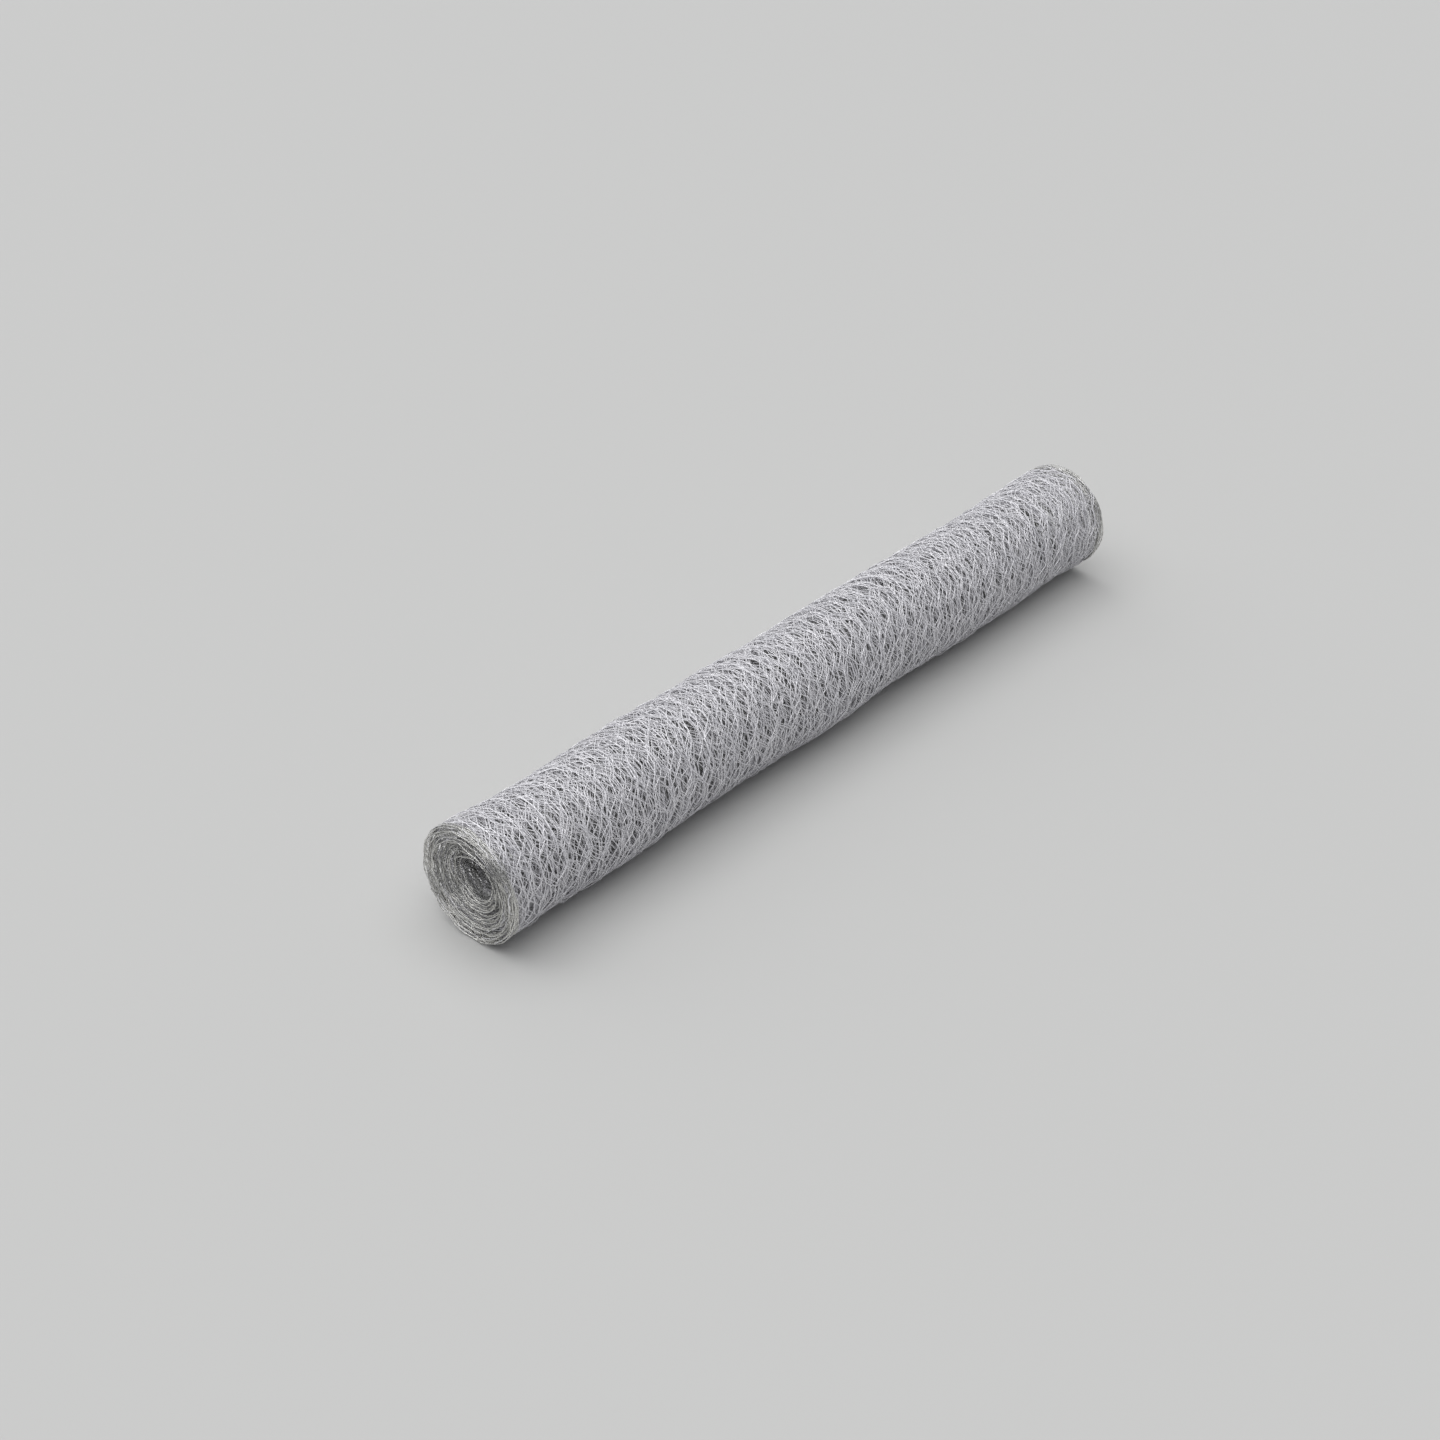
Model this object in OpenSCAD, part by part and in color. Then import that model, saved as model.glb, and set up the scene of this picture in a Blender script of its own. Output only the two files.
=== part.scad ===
// Roll of hexagonal wire netting, lying on its side as it is stored and sold.
// One long strip of galvanised netting is wound tightly on a mandrel, which is then drawn out.
// The axis of the roll lies along X and the floor is at z = 0, under the middle of the roll.

/* [Roll] */
// Width of the netting strip, which is the length of the roll
netting_width = 1000; // [300:50:1800]
// Outside diameter of the roll between its ends
body_d = 128; // [90:1:260]
// Clear diameter of the bore that the mandrel leaves
bore_d = 42; // [20:1:80]

/* [Turns] */
// Thickness that one turn of netting adds to the radius of the body
turn_pitch = 1.1; // [0.8:0.1:4]
// How far the edge wire of a turn stands out of the grooves beside it
edge_wire_rise = 0.6; // [0.2:0.1:2]

/* [Collars] */
// How far the doubled edge wires lift the outer turn at each end
collar_rise = 2.5; // [0.5:0.5:8]
// Length of the full-height collar at each end
collar_length = 25; // [10:1:60]
// Length over which a collar falls to the body
collar_taper = 45; // [10:1:80]

/* [Hidden] */

galvanised_wire = [0.62, 0.62, 0.64];
body_r = body_d / 2;
bore_r = bore_d / 2;
collar_r = body_r + collar_rise;
half_width = netting_width / 2;

// The same turns fill the thicker ends, so they lie further apart there
turns = round((body_r - bore_r) / turn_pitch);
end_pitch = (collar_r - bore_r) / turns;

crest_step = 45;
taper_steps = 8;
round_fn = 180;

// Points are [radius, place along the axis], for the end that faces the positive axis

// Rounded edge wire of one turn, from its inner groove up over the crest
function edge_wire(turn) =
    let (middle = bore_r + (turn + 0.5) * end_pitch)
    [for (a = [0 : crest_step : 180 - crest_step])
        [middle - cos(a) * end_pitch / 2,
         half_width - edge_wire_rise * (1 - sin(a))]];

// All the turns that show on the end, from the bore to the rim
function wound_end() =
    concat([for (turn = [0 : turns - 1]) each edge_wire(turn)],
           [[collar_r, half_width - edge_wire_rise]]);

// The collar, then a smooth fall to the body
function collar_fall() =
    [for (i = [0 : taper_steps])
        [body_r + collar_rise * (1 + cos(180 * i / taper_steps)) / 2,
         half_width - collar_length - collar_taper * i / taper_steps]];

function far_end(points) =
    [for (i = [len(points) - 1 : -1 : 0]) [points[i][0], -points[i][1]]];

module roll_section() {
    half_section = concat(wound_end(), collar_fall());
    polygon(concat(half_section, far_end(half_section)));
}

module netting_roll() {
    color(galvanised_wire)
        translate([0, 0, collar_r])
            rotate([0, 90, 0])
                rotate_extrude($fn = round_fn)
                    roll_section();
}

netting_roll();
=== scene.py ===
import math

import bpy
import numpy as np
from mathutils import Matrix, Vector


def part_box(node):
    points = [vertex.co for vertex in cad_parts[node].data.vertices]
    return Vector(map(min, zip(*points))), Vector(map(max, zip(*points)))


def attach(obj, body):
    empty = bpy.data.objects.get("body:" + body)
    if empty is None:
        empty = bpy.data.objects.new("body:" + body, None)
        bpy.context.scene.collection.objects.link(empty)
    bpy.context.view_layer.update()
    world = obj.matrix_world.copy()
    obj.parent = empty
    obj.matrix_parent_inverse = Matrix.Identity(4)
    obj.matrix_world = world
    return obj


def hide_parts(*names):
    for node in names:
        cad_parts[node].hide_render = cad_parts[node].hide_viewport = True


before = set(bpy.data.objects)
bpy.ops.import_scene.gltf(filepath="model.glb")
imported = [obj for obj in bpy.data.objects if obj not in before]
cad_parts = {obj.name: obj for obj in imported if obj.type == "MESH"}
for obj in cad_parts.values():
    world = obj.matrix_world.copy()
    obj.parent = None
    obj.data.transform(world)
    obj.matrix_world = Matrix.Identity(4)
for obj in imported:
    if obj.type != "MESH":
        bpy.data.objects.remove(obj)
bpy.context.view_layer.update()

# The netting: one strip of thin galvanised wires, wound turn on turn on a mandrel that was then
# drawn out. The netting machine twists each wire three half turns with one neighbour, then three
# with the next, which closes the hexagons, and so every wire crosses the strip from edge to edge.
roll_low, roll_high = (np.array(corner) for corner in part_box("netting_roll"))
half_width = roll_high[0]
axis_z = (roll_low[2] + roll_high[2]) / 2
rim_r = (roll_high[2] - roll_low[2]) / 2

wire_d = 0.0008
strand_offset = wire_d / 2
mesh_half_turns = 3
edge_half_turns = 4
twist_length = 0.0178
slope_length = 0.0151
half_cell = twist_length + slope_length
cell_columns = 70
edge_inset = 0.0012
column_pitch = 2 * (half_width - edge_inset) / cell_columns

turn_count = 38
core_r = 0.0230
collar_rise = 0.0025
collar_length = 0.025
collar_taper = 0.045
outer_r = rim_r - collar_rise - wire_d
loose_gap = 0.0003
turn_pitch = (outer_r - loose_gap - core_r) / turn_count

# The cut end of the strip is tucked in on the underside
tail_angle = math.radians(-78)
tuck_length = 0.020
tuck_depth = 0.0016


def length_to(turn):
    """Length of the strip from its inner end to this turn of the spiral."""
    return 2 * math.pi * turn * (core_r + turn_pitch * turn / 2)


step_count = int(length_to(turn_count) / half_cell)

# How unevenly the strip is wound: the outer turns nest into each other, the whole roll bulges,
# each turn rides over the last with some play, and the mesh is pushed out of square in places.
# On the thick ends the last turn, with a quarter more, stands off the others a little.
body_tightness = 2.4
end_tightness = 1.8
bulge = 0.0011
turn_play = 0.0005
axial_drift = 0.0024
mesh_drift = 0.0075
mesh_hold = 0.08
stretch_play = 0.006
core_play = 0.0010
bunching = 0.0008
loose_turns = 1.25
loose_blend = 0.5

# The inner turns lie back from the ends of the roll, the more the nearer to the bore, so each
# end is a shallow bowl. The bore lies a little above the middle of the roll.
recess_turns = 20
recess_near = 0.011
recess_far = 0.009
recess_reach = 0.10
recess_curve = 1.5
core_lift_near = 0.0030
core_lift_far = 0.0020
core_lift_curve = 1.5

# How much the twists are usually shifted, and the wires between them bent, from cell to cell.
# The most that any of them is shifted or bent is most_play times that.
twist_play_along = 0.0018
twist_play_across = 0.0010
twist_play_out = 0.0005
loop_play = 0.0022
bow_across = 0.0006
bow_out = 0.0006
slope_swing = 0.2
most_play = 2

uneven = np.random.default_rng(11)
twist_shift = uneven.normal(size=(3, step_count + 2, cell_columns + 1)).clip(-most_play, most_play)
slope_bow = uneven.normal(size=(2, step_count + 2, cell_columns)).clip(-most_play, most_play)


def waves(count, shortest, longest):
    """Seeded sine waves over two lengths: their wave numbers, their phases and their weight."""
    length = uneven.uniform(shortest, longest, (count, 2))
    direction = uneven.choice([-1.0, 1.0], (count, 2))
    phases = uneven.uniform(0, 2 * math.pi, count)
    return direction * 2 * math.pi / length, phases, 1 / math.sqrt(count)


def ripple(wave, first, second):
    """The sum of the waves at these two lengths, with a root mean square of about one."""
    numbers, phases, weight = wave
    total = np.zeros(np.broadcast(first, second).shape)
    for (first_number, second_number), phase in zip(numbers, phases):
        total += np.sin(first_number * first + second_number * second + phase)
    return total * weight * math.sqrt(2)


# How many waves each kind of unevenness has, and how long the shortest and the longest are
roll_bulges = waves(7, 0.11, 0.40)
turn_bulges = waves(8, 0.04, 0.15)
drift_waves = waves(5, 0.30, 1.1)
mesh_waves = waves(8, 0.15, 0.55)
stretch_waves = waves(6, 0.12, 0.6)
core_waves = waves(4, 0.08, 0.20)
bunch_waves = waves(6, 0.35, 1.5)


def collar(across):
    """1 on the thick ends of the roll, falling smoothly to 0 on its body."""
    inward = (half_width - np.abs(across) - collar_length) / collar_taper
    return (1 + np.cos(math.pi * np.clip(inward, 0, 1))) / 2


def wound(along, across, lift):
    """Points of the strip as it lies on the roll, and the outward direction at each of them.

    A point is given by its length from the inner end of the strip, its distance across from
    the middle line of the strip, and its height above the turn.
    """
    tuck = np.clip((along - step_count * half_cell + tuck_length) / tuck_length, 0, 1)
    along = along + stretch_play * ripple(stretch_waves, along, across)
    reach = np.maximum(core_r**2 + turn_pitch * along / math.pi, 0)
    turn = (np.sqrt(reach) - core_r) / turn_pitch
    angle = tail_angle + 2 * math.pi * (turn - turn_count)
    girth = outer_r * angle
    share = np.clip(turn / turn_count, 0, 1)
    depth = 1 - share

    raised = collar(across)
    calm = 1 - raised
    loose = np.clip((turn - turn_count + loose_turns) / loose_blend, 0, 1)
    nested = calm * (1 - depth**body_tightness) + raised * (1 - depth**end_tightness)
    radius = core_r + turn_pitch * turn_count * nested
    radius = radius + loose_gap * (calm + raised * loose * loose * (3 - 2 * loose))
    radius = radius - tuck_depth * tuck**2
    radius = radius + collar_rise * raised * share
    radius = radius + bunching * raised * ripple(bunch_waves, along, across * 0)
    radius = radius + bulge * calm * share**2 * ripple(roll_bulges, across, np.sin(angle) * outer_r)
    radius = radius + core_play * depth**2 * ripple(core_waves, girth, across)
    radius = radius + turn_play * ripple(turn_bulges, girth, across) + lift
    radius = np.minimum(radius, rim_r - wire_d / 2)

    from_near = half_width + across
    from_far = half_width - across
    core_lift = core_lift_far + (core_lift_near - core_lift_far) * from_far / (2 * half_width)
    recess = np.clip(1 - turn / recess_turns, 0, 1) ** recess_curve
    inside = np.clip((half_width - np.abs(across)) / mesh_hold, 0, 1)
    x = across + axial_drift * ripple(drift_waves, along, across * 0)
    x = x + mesh_drift * inside * ripple(mesh_waves, along, across)
    x = x + recess_near * recess * np.clip(1 - from_near / recess_reach, 0, 1)
    x = x - recess_far * recess * np.clip(1 - from_far / recess_reach, 0, 1)
    y = radius * np.cos(angle)
    z = axis_z + radius * np.sin(angle) + core_lift * depth**core_lift_curve
    out = np.stack([np.zeros_like(angle), np.cos(angle), np.sin(angle)], -1)
    return np.stack([x, y, np.maximum(z, wire_d / 2)], -1), out


def strands(first_step, last_step, twist_parts, slope_parts):
    """Paths of all the wires between two steps of the strip, one row for each wire."""
    lap = 2 * cell_columns
    step = np.arange(first_step, last_step + 1)
    wire = np.arange(cell_columns)
    lane = (2 * wire[:, None] + step[None, :]) % lap
    column = np.where(lane <= cell_columns, lane, lap - lane)
    to_right = (lane > 0) & (lane < cell_columns)
    at_edge = (lane == 0) | (lane == cell_columns)
    start_angle = np.where(to_right | (lane == cell_columns), math.pi, 0.0)
    half_turns = np.where(column % 2, mesh_half_turns, -mesh_half_turns)
    half_turns = np.where(at_edge, edge_half_turns, half_turns)
    shift_along, shift_across, shift_out = twist_shift[:, step[None, :], column]

    part = np.linspace(0, 1, twist_parts + 1)
    angle = start_angle[..., None] + math.pi * half_turns[..., None] * part
    slack = np.where(lane == 0, 1, -1) * np.abs(shift_across)
    shift_across = np.where(at_edge, loop_play * slack, twist_play_across * shift_across)
    middle = -half_width + edge_inset + column * column_pitch + shift_across
    across = middle[..., None] + strand_offset * np.cos(angle)
    lift = twist_play_out * shift_out[..., None] + strand_offset * np.sin(angle)
    along = (step * half_cell + twist_play_along * shift_along)[..., None] + part * twist_length

    # Between two twists a wire swings over to the next column, and it is seldom quite straight
    rise = np.arange(1, slope_parts) / slope_parts
    swing = rise - slope_swing * np.sin(2 * math.pi * rise) / (2 * math.pi)
    arch = 4 * rise * (1 - rise)
    bent_across, bent_out = slope_bow[:, step[None, :-1], wire[:, None]][..., None]
    gap_across = across[:, 1:, :1] - across[:, :-1, -1:]
    gap_along = along[:, 1:, :1] - along[:, :-1, -1:]
    gap_out = lift[:, 1:, :1] - lift[:, :-1, -1:]
    slope_across = across[:, :-1, -1:] + gap_across * swing + bow_across * bent_across * arch
    slope_along = along[:, :-1, -1:] + gap_along * rise
    slope_out = lift[:, :-1, -1:] + gap_out * rise + bow_out * bent_out * arch

    paths = []
    for twist, slope in ((along, slope_along), (across, slope_across), (lift, slope_out)):
        path = np.concatenate([twist[:, :-1], slope], 2).reshape(cell_columns, -1)
        paths.append(np.concatenate([path, twist[:, -1, :1]], 1))
    return paths


def wire_piece(name, points, outward, sides, finish):
    """One mesh of round wires, each a closed tube with flat cut ends, from rows of points."""
    wires, count = points.shape[:2]
    run = np.gradient(points, axis=1)
    run /= np.linalg.norm(run, axis=-1, keepdims=True)
    up = outward - run * (outward * run).sum(-1, keepdims=True)
    up /= np.linalg.norm(up, axis=-1, keepdims=True)
    beside = np.cross(run, up)

    # A tube of few sides is a little wider at its corners, so that it looks as thick as the wire
    corner_r = wire_d / 2 * (math.pi / sides) / math.sin(math.pi / sides)
    turn = 2 * math.pi * (np.arange(sides) + 0.5) / sides
    ring = up[:, :, None] * np.cos(turn)[:, None] + beside[:, :, None] * np.sin(turn)[:, None]
    corners = (points[:, :, None] + corner_r * ring).reshape(-1, 3)

    index = np.arange(wires * count * sides).reshape(wires, count, sides)
    following = np.roll(index, -1, axis=2)
    walls = np.stack([index[:, :-1], following[:, :-1], following[:, 1:], index[:, 1:]], -1)
    cut_ends = np.concatenate([index[:, 0, ::-1], index[:, -1]])

    mesh = bpy.data.meshes.new(name)
    mesh.from_pydata(corners.tolist(), [], walls.reshape(-1, 4).tolist() + cut_ends.tolist())
    mesh.polygons.foreach_set("use_smooth", np.ones(len(mesh.polygons), bool))
    mesh.materials.append(finish)
    piece = bpy.data.objects.new(name, mesh)
    bpy.context.collection.objects.link(piece)
    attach(piece, "root")
    return piece


# Where the noise of the patches is lower or higher than this, the zinc is fully dull or bright
dull_below = 0.30
bright_above = 0.70


def galvanised_finish(name, dull_zinc, bright_zinc, shine, dull_roughness, bright_roughness):
    """Zinc between the two given colours, duller in patches, with a fine crust that scatters its
    shine.
    """
    material = bpy.data.materials.new(name)
    material.use_nodes = True
    nodes, links = material.node_tree.nodes, material.node_tree.links
    shader = nodes["Principled BSDF"]
    shader.inputs["Metallic"].default_value = shine
    place = nodes.new("ShaderNodeTexCoord")

    patches = nodes.new("ShaderNodeTexNoise")
    patches.inputs["Scale"].default_value = 38
    patches.inputs["Detail"].default_value = 5
    patches.inputs["Roughness"].default_value = 0.65
    links.new(place.outputs["Object"], patches.inputs["Vector"])

    zinc = nodes.new("ShaderNodeValToRGB")
    zinc.color_ramp.elements[0].position = dull_below
    zinc.color_ramp.elements[0].color = (*dull_zinc, 1)
    zinc.color_ramp.elements[1].position = bright_above
    zinc.color_ramp.elements[1].color = (*bright_zinc, 1)
    links.new(patches.outputs["Fac"], zinc.inputs["Fac"])
    links.new(zinc.outputs["Color"], shader.inputs["Base Color"])

    dullness = nodes.new("ShaderNodeMapRange")
    dullness.inputs["From Min"].default_value = dull_below
    dullness.inputs["From Max"].default_value = bright_above
    dullness.inputs["To Min"].default_value = dull_roughness
    dullness.inputs["To Max"].default_value = bright_roughness
    links.new(patches.outputs["Fac"], dullness.inputs["Value"])
    links.new(dullness.outputs["Result"], shader.inputs["Roughness"])

    crust = nodes.new("ShaderNodeTexNoise")
    crust.inputs["Scale"].default_value = 2600
    crust.inputs["Detail"].default_value = 2
    links.new(place.outputs["Object"], crust.inputs["Vector"])
    bump = nodes.new("ShaderNodeBump")
    bump.inputs["Strength"].default_value = 0.45
    bump.inputs["Distance"].default_value = 0.00005
    links.new(crust.outputs["Fac"], bump.inputs["Height"])
    links.new(bump.outputs["Normal"], shader.inputs["Normal"])
    return material


# The inner turns' zinc is painted much darker than the outer turns': painted shade in the bore and
# between the inner turns
galvanised = galvanised_finish(
    "galvanised_wire", dull_zinc=(0.88, 0.875, 0.905), bright_zinc=(0.97, 0.96, 0.985),
    shine=0.45, dull_roughness=0.46, bright_roughness=0.32)
inner_shade_finish = galvanised_finish(
    "painted_shade_inner_wire", dull_zinc=(0.38, 0.38, 0.37), bright_zinc=(0.58, 0.58, 0.57),
    shine=0.80, dull_roughness=0.46, bright_roughness=0.32)


def first_step_of(turn):
    """The step of the strip where this turn of the roll begins."""
    return min(round(length_to(turn) / half_cell), step_count)


# Name, first and last turn, parts of a twist, parts of a slope, sides of a wire and finish:
# the turns that show most have the most parts
turn_groups = [
    # The bore and core turns take the darker zinc, which is painted shade
    ("netting_bore_turns", 0, 3, 4, 2, 3, inner_shade_finish),
    ("netting_core_turns", 3, 14, 2, 1, 3, inner_shade_finish),
    ("netting_inner_turns", 14, 22, 2, 1, 3, galvanised),
    ("netting_middle_turns", 22, 27, 2, 1, 3, galvanised),
    ("netting_under_turns", 27, 31, 4, 2, 3, galvanised),
    ("netting_near_turns", 31, 34, 4, 3, 3, galvanised),
    ("netting_close_turns", 34, 36, 6, 3, 4, galvanised),
    ("netting_outer_turns", 36, turn_count, 6, 3, 4, galvanised),
]
for name, first, last, twist_parts, slope_parts, sides, finish in turn_groups:
    path = strands(first_step_of(first), first_step_of(last), twist_parts, slope_parts)
    points, outward = wound(*path)
    turns = wire_piece(name, points, outward, sides, finish)
    if last == turn_count:
        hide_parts("netting_roll")

# The edge wires: two galvanised wires twisted into a cord along each side of the strip.
# The outermost wires of the mesh wrap round the cord at every cell and so hold it, and wound up
# it is the spiral on each end of the roll.
edge_cord_pitch = 0.014
edge_part = edge_cord_pitch / 4
edge_wander = 0.0020
edge_rise = 0.0005
edge_sides = 3
edge_waves = {-1: waves(9, 0.03, 0.30), 1: waves(9, 0.03, 0.30)}
edge_rise_waves = waves(8, 0.03, 0.20)
# The dull patches of the edge zinc are painted darker than the netting's: painted shade on the end
# spirals of the roll
edge_finish = galvanised_finish(
    "edge_wire", dull_zinc=(0.68, 0.68, 0.66), bright_zinc=(0.97, 0.96, 0.93),
    shine=1.0, dull_roughness=0.34, bright_roughness=0.20)

for name, side in (("edge_wires_near", -1), ("edge_wires_far", 1)):
    along = np.arange(0, step_count * half_cell, edge_part)
    twist = 2 * math.pi * along / edge_cord_pitch + np.array([[0.0], [math.pi]])
    wander = edge_wander * ripple(edge_waves[side], along, along * 0)
    across = side * (half_width - edge_inset) - side * np.abs(wander) + strand_offset * np.cos(twist)
    lift = strand_offset * np.sin(twist) + edge_rise * ripple(edge_rise_waves, along, along * 0)
    points, outward = wound(np.broadcast_to(along, twist.shape), across, lift)
    wire_piece(name, points, outward, edge_sides, edge_finish)

# The drawn wires: a twisted pair of galvanised wires of the last turn that was pulled straight.
# It lies on the netting for a fifth of the way round, and both its ends go back into the mesh.
drawn_from_end = 0.066
drawn_first = math.radians(-282)
drawn_last = math.radians(-206)
drawn_lift = 0.0030
drawn_dip = 0.0062
drawn_dip_curve = 8
drawn_half_turns = 7
drawn_points = 57
drawn_sides = 6

drawn_part = np.linspace(0, 1, drawn_points)
drawn_angle = drawn_first + (drawn_last - drawn_first) * drawn_part
drawn_along = length_to(turn_count + (drawn_angle - tail_angle) / (2 * math.pi))
drawn_twist = math.pi * drawn_half_turns * drawn_part + np.array([[0.0], [math.pi]])
drawn_across = drawn_from_end - half_width + strand_offset * np.cos(drawn_twist)
drawn_height = drawn_lift - drawn_dip * (2 * drawn_part - 1)**drawn_dip_curve
drawn_height = drawn_height + strand_offset * np.sin(drawn_twist)
points, outward = wound(np.broadcast_to(drawn_along, drawn_twist.shape), drawn_across, drawn_height)
wire_piece("drawn_wires", points, outward, drawn_sides, galvanised)

# The floor: a plain pale surface under the roll, and no part of it. A broad soft lamp overhead,
# a weaker one from behind and a little even light from all round light the roll and the floor.
floor_reach = 60.0
floor_grey = (0.54, 0.54, 0.53, 1)
floor_corners = [(-floor_reach, -floor_reach, 0), (floor_reach, -floor_reach, 0),
                 (floor_reach, floor_reach, 0), (-floor_reach, floor_reach, 0)]
floor_mesh = bpy.data.meshes.new("floor")
floor_mesh.from_pydata(floor_corners, [], [(0, 1, 2, 3)])
floor = bpy.data.objects.new("floor", floor_mesh)
bpy.context.collection.objects.link(floor)

floor_material = bpy.data.materials.new("pale_floor")
floor_material.use_nodes = True
floor_shader = floor_material.node_tree.nodes["Principled BSDF"]
floor_shader.inputs["Base Color"].default_value = floor_grey
floor_shader.inputs["Roughness"].default_value = 0.9
floor_mesh.materials.append(floor_material)

# Name, where the light comes from, how wide the lamp looks in degrees, strength
lamps = [
    ("soft_key_lamp", (-0.12, 0.0, 0.99), 84, 2.30),
    ("soft_back_lamp", (-0.05, 0.80, 0.60), 70, 0.85),
]
for name, comes_from, width, strength in lamps:
    lamp_data = bpy.data.lights.new(name, "SUN")
    lamp_data.angle = math.radians(width)
    lamp_data.energy = strength
    lamp = bpy.data.objects.new(name, lamp_data)
    lamp.rotation_euler = Vector(comes_from).to_track_quat("Z", "Y").to_euler()
    bpy.context.collection.objects.link(lamp)

world = bpy.data.worlds.new("even_light")
world.use_nodes = True
world_light = world.node_tree.nodes["Background"]
world_light.inputs["Color"].default_value = (0.92, 0.94, 1.0, 1)
world_light.inputs["Strength"].default_value = 0.22
bpy.context.scene.world = world

# The camera: the photograph's view, from about 1.4 m up and down onto the near end of the roll.
# Its height is kept from the axis of the roll, and its angles are in degrees.
camera_above_axis = 1.3722
camera_pitch = 34.58
camera_heading = 47.77
camera_data = bpy.data.cameras.new("camera")
camera_data.sensor_width = 36
camera_data.lens = 55.58
camera = bpy.data.objects.new("camera", camera_data)
camera.location = (-1.596, -1.3285, axis_z + camera_above_axis)
camera.rotation_euler = (math.radians(90 - camera_pitch), 0, math.radians(-camera_heading))
bpy.context.collection.objects.link(camera)
bpy.context.scene.camera = camera
bpy.context.scene.view_settings.view_transform = "Standard"
